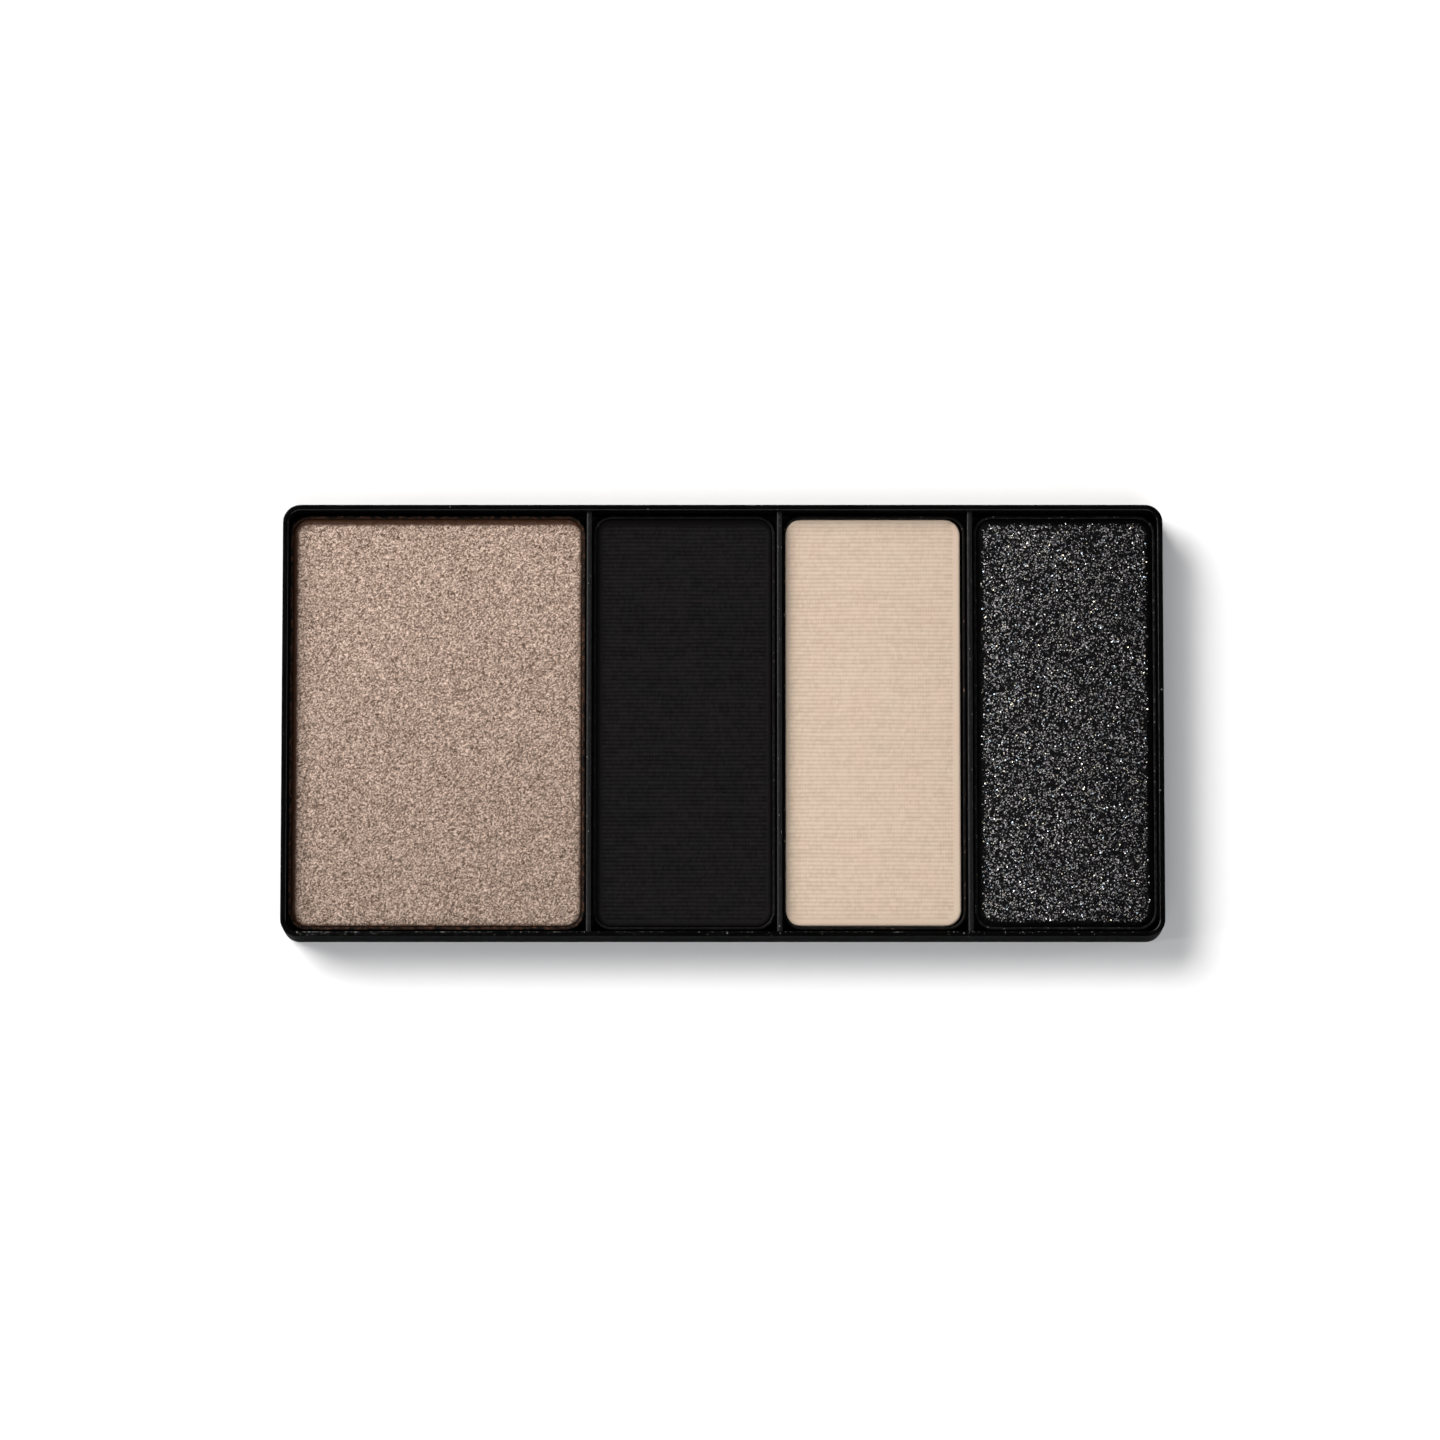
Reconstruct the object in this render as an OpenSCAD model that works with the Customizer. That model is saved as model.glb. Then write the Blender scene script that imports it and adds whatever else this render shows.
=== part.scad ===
// Slim open eyeshadow palette: a moulded tray with one wide bay and three narrow ones.
// Each bay holds a lift-out tin pan of pressed powder, kept down by disc magnets in the floor.
// Origin: centre of the underside. +X runs along the row of bays, +Y to the back, +Z up.

/* [Tray] */
// Overall width, along the row of bays
tray_w = 80; // [64:0.5:110]
// Overall depth, front to back
tray_d = 39.5; // [30:0.5:56]
// Overall height
tray_h = 5; // [4.1:0.1:9]
// Radius of the tray's outer corners, seen from above
tray_corner_r = 1.6; // [1:0.1:3]
// Thickness of the outer wall
wall_t = 0.5; // [0.4:0.05:0.9]
// Thickness of the floor
floor_t = 1.2; // [1:0.05:1.8]
// Thickness of each rib between two bays
rib_t = 0.5; // [0.4:0.05:1]
// How far the ribs stop below the rim
rib_drop = 0.5; // [0.1:0.05:0.8]
// Width of the wide bay at the left end
wide_bay_w = 27.1; // [20:0.1:34]

/* [Pans] */
// Gap between a pan and the rib or wall at each side
pan_side_gap = 0.13; // [0.05:0.01:0.3]
// Gap between a pan and the wall at its front and back
pan_end_gap = 0.3; // [0.1:0.01:0.5]
// Height of the pans
pan_h = 2.3; // [1.8:0.1:2.8]
// Thickness of the tin that the pans are pressed from
tin_t = 0.25; // [0.2:0.01:0.35]
// Radius of the pans' corners, seen from above
pan_corner_r = 1.7; // [1.2:0.1:2.5]
// How far the pressed powder crowns above its pan
powder_crown = 0.1; // [0.05:0.01:0.3]

/* [Magnets] */
// Diameter of the disc magnets
magnet_d = 6; // [4:0.5:8]
// Thickness of the disc magnets
magnet_t = 0.5; // [0.3:0.05:0.6]
// Spacing of the two magnets under the wide pan
magnet_pitch = 13; // [9:0.5:16]
// Radial play of a magnet in its pocket
magnet_play = 0.05; // [0.03:0.01:0.1]
// How far a magnet lies below the floor's surface
magnet_sink = 0.05; // [0.02:0.01:0.1]
// Thickness of the adhesive under a magnet
glue_t = 0.08; // [0.05:0.01:0.1]

/* [Underside] */
// Diameter of the hole that a pan is pushed out through
push_hole_d = 3; // [2:0.1:4]
// Distance from the back wall's inner face to the push-out holes
push_hole_inset = 6; // [4:0.1:7]
// Plain margin round the label, at its sides and front
label_margin = 7.5; // [4:0.5:10]
// Clear floor between the label and the push-out holes
label_clear = 3; // [1:0.5:5]
// Depth of the recess that the label lies in
label_recess = 0.15; // [0.1:0.01:0.2]
// Thickness of the label
label_t = 0.1; // [0.05:0.01:0.1]
// Gap round the label in its recess
label_gap = 0.2; // [0.1:0.05:0.4]
// Radius of the label's corners
label_corner_r = 1.3; // [0.8:0.1:3]

/* [Hidden] */
$fn = 96;

cut = 0.1; // how far a cutting shape runs past the face it opens

tray_color = "#101011";
tin_color = "#1b1918";
powder_colors = ["#a99283", "#1b191a", "#d3bea9", "#3c3c3c"];

// Bays, numbered from 0, the wide one at the left
narrow_bays = 3;
inner_w = tray_w - 2 * wall_t;
inner_d = tray_d - 2 * wall_t;
inner_corner_r = tray_corner_r - wall_t;
rib_h = tray_h - rib_drop;
narrow_bay_w = (inner_w - wide_bay_w - narrow_bays * rib_t) / narrow_bays;

function bay_w(i) = i == 0 ? wide_bay_w : narrow_bay_w;
function bay_left(i) =
    -inner_w / 2 + (i == 0 ? 0 : wide_bay_w + rib_t + (i - 1) * (narrow_bay_w + rib_t));
function bay_mid(i) = bay_left(i) + bay_w(i) / 2;

// Pans, and the space inside them that the powder fills
function pan_w(i) = bay_w(i) - 2 * pan_side_gap;
function pan_inner_w(i) = pan_w(i) - 2 * tin_t;
pan_d = inner_d - 2 * pan_end_gap;
pan_inner_d = pan_d - 2 * tin_t;
pan_inner_r = pan_corner_r - tin_t;
powder_t = pan_h - tin_t + powder_crown;

// Magnets, each as [bay, distance from the bay's middle]
magnet_seats = [[0, -magnet_pitch / 2], [0, magnet_pitch / 2], [1, 0], [2, 0], [3, 0]];
last_seat = len(magnet_seats) - 1;
pocket_d = magnet_d + 2 * magnet_play;
pocket_depth = glue_t + magnet_t + magnet_sink;

// Underside
push_hole_y = inner_d / 2 - push_hole_inset;
recess_front = -tray_d / 2 + label_margin;
recess_back = push_hole_y - push_hole_d / 2 - label_clear;
recess_mid_y = (recess_front + recess_back) / 2;
recess_w = tray_w - 2 * label_margin;
recess_d = recess_back - recess_front;
recess_corner_r = label_corner_r + label_gap;

// A flat plate with rounded corners, centred on the origin and standing on z = 0
module plate(w, d, h, r) {
    linear_extrude(height = h) {
        square([w - 2 * r, d], center = true);
        square([w, d - 2 * r], center = true);
        for (x = [-1, 1], y = [-1, 1])
            translate([x * (w / 2 - r), y * (d / 2 - r)])
                circle(r = r);
    }
}

// Puts its children on the bottom of magnet pocket i
module in_pocket(i) {
    translate([bay_mid(magnet_seats[i][0]) + magnet_seats[i][1], 0, floor_t - pocket_depth])
        children();
}

// The open box that the bays divide
module tray_shell() {
    difference() {
        plate(tray_w, tray_d, tray_h, tray_corner_r);
        translate([0, 0, floor_t])
            plate(inner_w, inner_d, tray_h, inner_corner_r);
    }
}

// Rib at the left of bay i, rooted half way into the walls and the floor
module rib(i) {
    translate([bay_left(i) - rib_t, -(inner_d + wall_t) / 2, floor_t / 2])
        cube([rib_t, inner_d + wall_t, rib_h - floor_t / 2]);
}

// Outer wall, floor and ribs are one moulding
module tray() {
    color(tray_color)
    difference() {
        union() {
            tray_shell();
            for (i = [1 : narrow_bays])
                rib(i);
        }
        for (i = [0 : last_seat])
            in_pocket(i)
                cylinder(d = pocket_d, h = pocket_depth + cut);
        for (i = [0 : narrow_bays])
            translate([bay_mid(i), push_hole_y, -cut])
                cylinder(d = push_hole_d, h = floor_t + 2 * cut);
        translate([0, recess_mid_y, -cut])
            plate(recess_w, recess_d, label_recess + cut, recess_corner_r);
    }
}

// Pressed tin cup that stands on the floor of bay i
module pan(i) {
    color(tin_color)
    translate([bay_mid(i), 0, floor_t])
    difference() {
        plate(pan_w(i), pan_d, pan_h, pan_corner_r);
        translate([0, 0, tin_t])
            plate(pan_inner_w(i), pan_inner_d, pan_h, pan_inner_r);
    }
}

// Block of pressed powder that fills pan i
module powder(i) {
    color(powder_colors[i])
    translate([bay_mid(i), 0, floor_t + tin_t])
        plate(pan_inner_w(i), pan_inner_d, powder_t, pan_inner_r);
}

// Disc magnet on its adhesive in pocket i
module magnet(i) {
    color("silver")
    in_pocket(i)
        translate([0, 0, glue_t])
            cylinder(d = magnet_d, h = magnet_t);
}

// Spot of adhesive in each pocket
module magnet_glue() {
    color("#c9b26a")
    for (i = [0 : last_seat])
        in_pocket(i)
            cylinder(d = magnet_d, h = glue_t);
}

// Blank adhesive label, which lies below flush in its recess
module base_label() {
    color("#2a2a2c")
    translate([0, recess_mid_y, label_recess - label_t])
        plate(recess_w - 2 * label_gap, recess_d - 2 * label_gap, label_t, label_corner_r);
}

tray();
pan(0);  // pan_shimmer
pan(1);  // pan_black
pan(2);  // pan_beige
pan(3);  // pan_glitter
powder(0);  // powder_shimmer
powder(1);  // powder_black
powder(2);  // powder_beige
powder(3);  // powder_glitter
magnet(0);  // magnet_shimmer_left
magnet(1);  // magnet_shimmer_right
magnet(2);  // magnet_black
magnet(3);  // magnet_beige
magnet(4);  // magnet_glitter
magnet_glue();
base_label();
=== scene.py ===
import math
import random

import bmesh
import bpy
import numpy as np
from mathutils import Matrix, Vector


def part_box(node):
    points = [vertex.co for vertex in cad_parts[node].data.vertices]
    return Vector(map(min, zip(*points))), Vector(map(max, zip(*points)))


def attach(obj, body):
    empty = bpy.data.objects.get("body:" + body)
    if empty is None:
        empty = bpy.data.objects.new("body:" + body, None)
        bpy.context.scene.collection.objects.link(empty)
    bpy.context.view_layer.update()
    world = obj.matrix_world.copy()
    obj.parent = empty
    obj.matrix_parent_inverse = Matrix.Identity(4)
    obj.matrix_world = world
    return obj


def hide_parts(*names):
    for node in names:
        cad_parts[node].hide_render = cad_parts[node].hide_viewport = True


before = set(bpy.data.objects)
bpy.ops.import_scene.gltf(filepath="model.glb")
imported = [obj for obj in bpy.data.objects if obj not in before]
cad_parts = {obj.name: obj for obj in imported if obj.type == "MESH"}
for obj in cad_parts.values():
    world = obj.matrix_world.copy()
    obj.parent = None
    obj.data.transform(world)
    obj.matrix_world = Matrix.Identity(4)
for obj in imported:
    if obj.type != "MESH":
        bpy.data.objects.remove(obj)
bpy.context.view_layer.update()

# Pieces are shaped in millimetres and brought to metres when they are finished.
mm = 1000.0
shades = ["shimmer", "black", "beige", "glitter"]
magnetNodes = [
    "magnet_shimmer_left", "magnet_shimmer_right", "magnet_black", "magnet_beige", "magnet_glitter",
]
seeds = {"cakes": 11, "flakes": 31, "crumbs": 71, "glue": 5}  # where each lot of random draws starts


def boxOf(nodeName):
    low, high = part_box(nodeName)
    return Vector(low) * mm, Vector(high) * mm


camera = {
    "distance": 718,  # from the middle of the rim
    "elevation": 82.5,  # degrees above the table, from the front
    "lens": 198,
    "sensor": 36,
    "shiftX": -0.0019,
    "near": 0.01,  # metres
}


def makeCamera():
    low, high = boxOf("tray")
    target = Vector(((low.x + high.x) / 2, (low.y + high.y) / 2, high.z)) / mm
    tilt = math.radians(camera["elevation"])
    back = Vector((0, -math.cos(tilt), math.sin(tilt)))
    data = bpy.data.cameras.new("camera")
    data.lens = camera["lens"]
    data.sensor_width = camera["sensor"]
    data.shift_x = camera["shiftX"]
    data.clip_start = camera["near"]
    made = bpy.data.objects.new("camera", data)
    made.location = target + back * camera["distance"] / mm
    made.rotation_mode = "QUATERNION"
    made.rotation_quaternion = (-back).to_track_quat("-Z", "Y")
    bpy.context.scene.collection.objects.link(made)
    bpy.context.scene.camera = made


# Each softbox: where it hangs in metres, its width and height, its power in watts, its tint
softboxes = {
    "key": {"at": (-1.28, 1.0, 1.5), "size": (1.4, 1.4), "watts": 72, "tint": (1.0, 0.985, 0.965)},
    "fill": {"at": (0.3, -1.25, 1.8), "size": (1.7, 1.7), "watts": 22, "tint": (0.965, 0.98, 1.0)},
    "leftStrip": {"at": (-1.9, -0.3, 0.8), "size": (0.3, 1.2), "watts": 7.5, "tint": (1.0, 1.0, 1.0)},
    "rightStrip": {"at": (1.9, 0.2, 0.8), "size": (0.3, 1.2), "watts": 5, "tint": (1.0, 1.0, 1.0)},
}
# How bright the room is to look at, and as light at the horizon and overhead
room = {"seen": 1.0, "horizon": 0.36, "overhead": 0.016, "falloff": 1.5, "tint": (1, 1, 1, 1)}
# Metres across, millimetres below the tray, and how little the paper's tone drifts
table = {"size": 2.4, "drop": 0.02, "color": (0.885, 0.885, 0.89, 1), "drift": (0.995, 1.005)}


def makeLights():
    for name, box in softboxes.items():
        data = bpy.data.lights.new(name, "AREA")
        data.shape = "RECTANGLE"
        data.size, data.size_y = box["size"]
        data.energy = box["watts"]
        data.color = box["tint"]
        made = bpy.data.objects.new(name, data)
        made.location = box["at"]
        made.rotation_euler = (-Vector(box["at"])).to_track_quat("-Z", "Y").to_euler()
        bpy.context.scene.collection.objects.link(made)


def makeRoom():
    world = bpy.data.worlds.new("room")
    bpy.context.scene.world = world
    world.use_nodes = True
    tree = world.node_tree
    tree.nodes.clear()
    ray = tree.nodes.new("ShaderNodeLightPath")
    direction = put(tree, "TexCoord").outputs["Generated"]
    height = put(tree, "SeparateXYZ", {0: direction}).outputs[2]
    level = calc(tree, "SUBTRACT", 1.0, calc(tree, "ABSOLUTE", height), clamp=True)
    nearHorizon = calc(tree, "POWER", level, room["falloff"])
    light = remap(tree, nearHorizon, 0.0, 1.0, room["overhead"], room["horizon"])
    dim = tree.nodes.new("ShaderNodeBackground")
    bright = tree.nodes.new("ShaderNodeBackground")
    for background in (dim, bright):
        background.inputs["Color"].default_value = room["tint"]
    mix = tree.nodes.new("ShaderNodeMixShader")
    out = tree.nodes.new("ShaderNodeOutputWorld")
    tree.links.new(light, dim.inputs["Strength"])
    bright.inputs["Strength"].default_value = room["seen"]
    tree.links.new(ray.outputs["Is Camera Ray"], mix.inputs["Fac"])
    tree.links.new(dim.outputs[0], mix.inputs[1])
    tree.links.new(bright.outputs[0], mix.inputs[2])
    tree.links.new(mix.outputs[0], out.inputs["Surface"])


def put(tree, kind, sockets=None, **settings):
    made = tree.nodes.new("ShaderNode" + kind)
    for key, value in settings.items():
        setattr(made, key, value)
    for key, value in (sockets or {}).items():
        if isinstance(value, bpy.types.NodeSocket):
            tree.links.new(value, made.inputs[key])
        else:
            made.inputs[key].default_value = value
    return made


def calc(tree, operation, *values, clamp=False):
    numbers = dict(enumerate(values))
    return put(tree, "Math", numbers, operation=operation, use_clamp=clamp).outputs[0]


def remap(tree, value, low, high, toLow=0.0, toHigh=1.0):
    sockets = {"Value": value, "From Min": low, "From Max": high, "To Min": toLow, "To Max": toHigh}
    return put(tree, "MapRange", sockets).outputs["Result"]


def mixColor(tree, share, first, second, blend="MIX"):
    made = put(tree, "Mix", data_type="RGBA", blend_type=blend)
    for index, value in ((0, share), (6, first), (7, second)):
        if isinstance(value, bpy.types.NodeSocket):
            tree.links.new(value, made.inputs[index])
        else:
            made.inputs[index].default_value = value
    return made.outputs[2]


def newGroup(name, inputs, outputs):
    tree = bpy.data.node_groups.new(name, "ShaderNodeTree")
    for label, value in inputs.items():
        kind = "NodeSocketColor" if isinstance(value, tuple) else "NodeSocketFloat"
        socket = tree.interface.new_socket(name=label, in_out="INPUT", socket_type=kind)
        socket.default_value = value
    for label, kind in outputs.items():
        tree.interface.new_socket(name=label, in_out="OUTPUT", socket_type="NodeSocket" + kind)
    given = tree.nodes.new("NodeGroupInput").outputs
    result = tree.nodes.new("NodeGroupOutput").inputs
    return tree, given, result


def millimetres(tree):
    place = put(tree, "TexCoord").outputs["Object"]
    return put(tree, "VectorMath", {0: place, "Scale": mm}, operation="SCALE").outputs[0]


def placeGroup(tree, groupTree, sockets=None):
    made = tree.nodes.new("ShaderNodeGroup")
    made.node_tree = groupTree
    for key, value in (sockets or {}).items():
        if isinstance(value, bpy.types.NodeSocket):
            tree.links.new(value, made.inputs[key])
        else:
            made.inputs[key].default_value = value
    return made.outputs


# The spans of noise over which each effect comes in, and the widest speck for its cell
effects = {"patch": (0.38, 0.62), "haze": (0.45, 0.75), "rubbed": (0.42, 0.68), "speck": 0.45}


def grainGroup():
    # Fine grain of a pressed powder, with broad patches that lean to a second tint
    tree, given, result = newGroup(
        "powder grain",
        {"Color": (0.5, 0.5, 0.5, 1), "Patch Color": (0.5, 0.5, 0.5, 1), "Patch Share": 0.3,
         "Patch Size": 4.0, "Grain Size": 0.08, "Contrast": 0.1},
        {"Color": "Color", "Height": "Float"})
    place = millimetres(tree)
    broadScale = calc(tree, "DIVIDE", 1.0, given["Patch Size"])
    broad = put(tree, "TexNoise", {"Vector": place, "Detail": 3.0, "Scale": broadScale})
    patch = calc(tree, "MULTIPLY", remap(tree, broad.outputs["Fac"], *effects["patch"]), given["Patch Share"])
    fineScale = calc(tree, "DIVIDE", 1.0, given["Grain Size"])
    fine = put(tree, "TexNoise", {"Vector": place, "Detail": 2.0, "Scale": fineScale})
    swing = calc(tree, "MULTIPLY", calc(tree, "SUBTRACT", fine.outputs["Fac"], 0.5), given["Contrast"])
    shade = calc(tree, "ADD", calc(tree, "MULTIPLY", swing, 2.0), 1.0)
    tinted = mixColor(tree, patch, given["Color"], given["Patch Color"])
    shaded = put(tree, "VectorMath", {0: tinted, "Scale": shade}, operation="SCALE")
    tree.links.new(shaded.outputs[0], result["Color"])
    tree.links.new(fine.outputs["Fac"], result["Height"])
    return tree


def flakeGroup():
    # Pearl platelets: each cell is one platelet with its own tone and its own lean
    tree, given, result = newGroup(
        "pearl platelets",
        {"Size": 0.12, "Share": 0.5, "Lean": 0.4, "Scatter": 1.0},
        {"Mask": "Float", "Tone": "Float", "Hue": "Color", "Normal": "Vector"})
    scale = calc(tree, "DIVIDE", 1.0, given["Size"])
    place = millimetres(tree)
    cells = put(tree, "TexVoronoi", {"Vector": place, "Scale": scale, "Randomness": given["Scatter"]},
                feature="F1", voronoi_dimensions="2D")
    split = put(tree, "SeparateColor", {0: cells.outputs["Color"]})
    mask = calc(tree, "GREATER_THAN", split.outputs[2], calc(tree, "SUBTRACT", 1.0, given["Share"]))
    away = put(tree, "VectorMath", {0: cells.outputs["Color"], 1: (0.5, 0.5, 0.5)}, operation="SUBTRACT")
    lean = put(tree, "VectorMath", {0: away.outputs[0], "Scale": calc(tree, "MULTIPLY", given["Lean"], 2.0)},
               operation="SCALE")
    surface = put(tree, "NewGeometry").outputs["Normal"]
    tipped = put(tree, "VectorMath", {0: surface, 1: lean.outputs[0]}, operation="ADD")
    normal = put(tree, "VectorMath", {0: tipped.outputs[0]}, operation="NORMALIZE")
    tree.links.new(mask, result["Mask"])
    tree.links.new(split.outputs[0], result["Tone"])
    tree.links.new(cells.outputs["Color"], result["Hue"])
    tree.links.new(normal.outputs[0], result["Normal"])
    return tree


def dustGroup():
    # Loose specks on a dark surface
    tree, given, result = newGroup(
        "loose dust", {"Size": 0.12, "Share": 0.1, "Haze": 0.1}, {"Mask": "Float"})
    place = millimetres(tree)
    cells = put(tree, "TexVoronoi", {"Vector": place, "Scale": calc(tree, "DIVIDE", 1.0, given["Size"])},
                feature="F1", voronoi_dimensions="3D")
    split = put(tree, "SeparateColor", {0: cells.outputs["Color"]})
    chosen = calc(tree, "LESS_THAN", split.outputs[0], given["Share"])
    reach = calc(tree, "MULTIPLY", split.outputs[1], effects["speck"])
    speck = calc(tree, "MULTIPLY", chosen, calc(tree, "LESS_THAN", cells.outputs["Distance"], reach))
    film = put(tree, "TexNoise", {"Vector": place, "Scale": 3.0, "Detail": 5.0})
    haze = calc(tree, "MULTIPLY", remap(tree, film.outputs["Fac"], *effects["haze"]), given["Haze"])
    tree.links.new(calc(tree, "ADD", speck, haze, clamp=True), result["Mask"])
    return tree


def wearGroup():
    # Rubbed edges, from the piece's own edge attribute
    tree, given, result = newGroup("edge wear", {"Size": 0.3, "Amount": 0.5}, {"Mask": "Float"})
    edge = put(tree, "Attribute", attribute_name="edge").outputs["Fac"]
    patchy = put(tree, "TexNoise", {"Vector": millimetres(tree), "Detail": 4.0,
                                    "Scale": calc(tree, "DIVIDE", 1.0, given["Size"])})
    rubbed = remap(tree, patchy.outputs["Fac"], *effects["rubbed"])
    mask = calc(tree, "MULTIPLY", calc(tree, "MULTIPLY", edge, rubbed), given["Amount"])
    tree.links.new(mask, result["Mask"])
    return tree


def skinGroup():
    # The slight unevenness of a moulded or lacquered surface
    tree, given, result = newGroup(
        "surface skin", {"Size": 0.5, "Roughness": 0.3, "Spread": 0.08},
        {"Roughness": "Float", "Height": "Float"})
    place = millimetres(tree)
    scale = calc(tree, "DIVIDE", 1.0, given["Size"])
    waves = put(tree, "TexNoise", {"Vector": place, "Detail": 3.0, "Scale": scale})
    broad = put(tree, "TexNoise", {"Vector": place, "Detail": 4.0, "Scale": 0.35})
    swing = calc(tree, "MULTIPLY", calc(tree, "SUBTRACT", broad.outputs["Fac"], 0.5), given["Spread"])
    rough = calc(tree, "ADD", given["Roughness"], calc(tree, "MULTIPLY", swing, 2.0), clamp=True)
    tree.links.new(rough, result["Roughness"])
    tree.links.new(waves.outputs["Fac"], result["Height"])
    return tree


powderGrain = grainGroup()
pearlPlatelets = flakeGroup()
looseDust = dustGroup()
edgeWear = wearGroup()
surfaceSkin = skinGroup()
print("shared effects made")


def withPaintedLight(tree, color):
    # Paints light and shade into a cake's color: paler or darker from place to place, by the piece's own
    # attribute for it
    shade = put(tree, "Attribute", attribute_name="paintedLight").outputs["Fac"]
    return put(tree, "VectorMath", {0: color, "Scale": shade}, operation="SCALE").outputs[0]


def newMaterial(name, roughness=0.5, specular=0.5, metallic=0.0):
    made = bpy.data.materials.new(name)
    made.use_nodes = True
    tree = made.node_tree
    tree.nodes.clear()
    shader = put(tree, "BsdfPrincipled")
    shader.inputs["Roughness"].default_value = roughness
    shader.inputs["Specular IOR Level"].default_value = specular
    shader.inputs["Metallic"].default_value = metallic
    out = put(tree, "OutputMaterial")
    tree.links.new(shader.outputs[0], out.inputs["Surface"])
    return made, tree, shader


def feed(tree, shader, **sockets):
    names = {"color": "Base Color", "roughness": "Roughness", "metallic": "Metallic", "normal": "Normal"}
    for key, value in sockets.items():
        tree.links.new(value, shader.inputs[names[key]])


def bump(tree, height, depth, normal=None):
    sockets = {"Height": height, "Distance": depth / mm, "Strength": 1.0}
    if normal is not None:
        sockets["Normal"] = normal
    return put(tree, "Bump", sockets).outputs["Normal"]


# Jet-black plastic is all gloss and no body colour, so it is set up as a metal of the
# gloss's own strength. The specular tint then keeps the walls dark at a glancing angle.
trayLook = {
    "gloss": (0.02, 0.02, 0.0205, 1),
    "wornGloss": (0.032, 0.032, 0.032, 1),
    "glancing": (0.035, 0.035, 0.035, 1),
    "roughness": 0.22,
    "skinDepth": 0.002,
    "sideRoughness": 0.22,  # added on the upright walls, which are satin
    "sideSlope": (0.05, 0.35),
    "bayRoughness": 0.2,  # added on the floor of the bays and the tops of the ribs
    "bayFade": (0.08, 0.2),  # where that ends, above the tops of the ribs
    "dustColor": (0.1, 0.097, 0.095, 1),
    "dustRoughness": 0.5,
    "specks": (0.05, 0.9),  # how many show on the faces, and along the edges
    "film": 0.45,  # powder that has settled on the floor of the bays
    "filmLeast": 0.5,
    "filmFade": (0.1, 0.5),  # where it ends, above the floor
    "filmSlope": (0.5, 0.9),
}


def trayPlastic():
    made, tree, shader = newMaterial("tray plastic")
    shader.inputs["Specular Tint"].default_value = trayLook["glancing"]
    skin = placeGroup(tree, surfaceSkin, {"Size": 0.22, "Roughness": trayLook["roughness"], "Spread": 0.06})
    worn = placeGroup(tree, edgeWear, {"Size": 0.25, "Amount": 0.8})["Mask"]
    rubbed = mixColor(tree, worn, trayLook["gloss"], trayLook["wornGloss"])
    specks = placeGroup(tree, looseDust, {"Size": 0.2, "Share": 0.025, "Haze": 0.0})["Mask"]
    nearEdge = put(tree, "Attribute", attribute_name="edge").outputs["Fac"]
    strewn = calc(tree, "MULTIPLY", specks, remap(tree, nearEdge, 0.0, 1.0, *trayLook["specks"]))
    level = put(tree, "SeparateXYZ", {0: millimetres(tree)}).outputs[2]
    slope = put(tree, "SeparateXYZ", {0: put(tree, "TexCoord").outputs["Normal"]}).outputs[2]

    floorTop = boxOf("pan_shimmer")[0].z
    fadeFrom, fadeTo = trayLook["filmFade"]
    film = placeGroup(tree, looseDust, {"Size": 0.3, "Share": 0.04, "Haze": 1.0})["Mask"]
    patchy = remap(tree, film, 0.0, 1.0, trayLook["filmLeast"], 1.0)
    depth = remap(tree, level, floorTop + fadeFrom, floorTop + fadeTo, trayLook["film"], 0.0)
    facingUp = remap(tree, slope, *trayLook["filmSlope"])
    settled = calc(tree, "MULTIPLY", calc(tree, "MULTIPLY", patchy, depth), facingUp)
    dust = calc(tree, "MAXIMUM", strewn, settled)
    dusty = mixColor(tree, dust, rubbed, trayLook["dustColor"])

    ribTop = boxOf("tray")[1].z - tray["ribDrop"]
    fadeFrom, fadeTo = trayLook["bayFade"]
    inBay = remap(tree, level, ribTop + fadeFrom, ribTop + fadeTo, trayLook["bayRoughness"], 0.0)
    steep = calc(tree, "ABSOLUTE", slope)
    added = remap(tree, steep, *trayLook["sideSlope"], trayLook["sideRoughness"], inBay)
    satin = calc(tree, "ADD", skin["Roughness"], added)
    dull = calc(tree, "MULTIPLY", dust, trayLook["dustRoughness"])
    rough = calc(tree, "ADD", satin, dull, clamp=True)
    glossy = calc(tree, "SUBTRACT", 1.0, dust, clamp=True)
    normal = bump(tree, skin["Height"], trayLook["skinDepth"])
    feed(tree, shader, color=dusty, roughness=rough, metallic=glossy, normal=normal)
    return made


tinLook = {
    "color": (0.0025, 0.0024, 0.0024, 1),
    "roughness": 0.38,
    "specular": 0.11,
    "skinDepth": 0.002,
    "dustRoughness": 0.5,
    "dust": {  # what has come off each powder, its share of specks, its haze on the tin
        "shimmer": ((0.135, 0.06, 0.032, 1), 0.32, 0.6),
        "black": ((0.035, 0.033, 0.034, 1), 0.14, 0.2),
        "beige": ((0.2, 0.14, 0.1, 1), 0.12, 0.05),
        "glitter": ((0.11, 0.11, 0.115, 1), 0.2, 0.1),
    },
}


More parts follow.
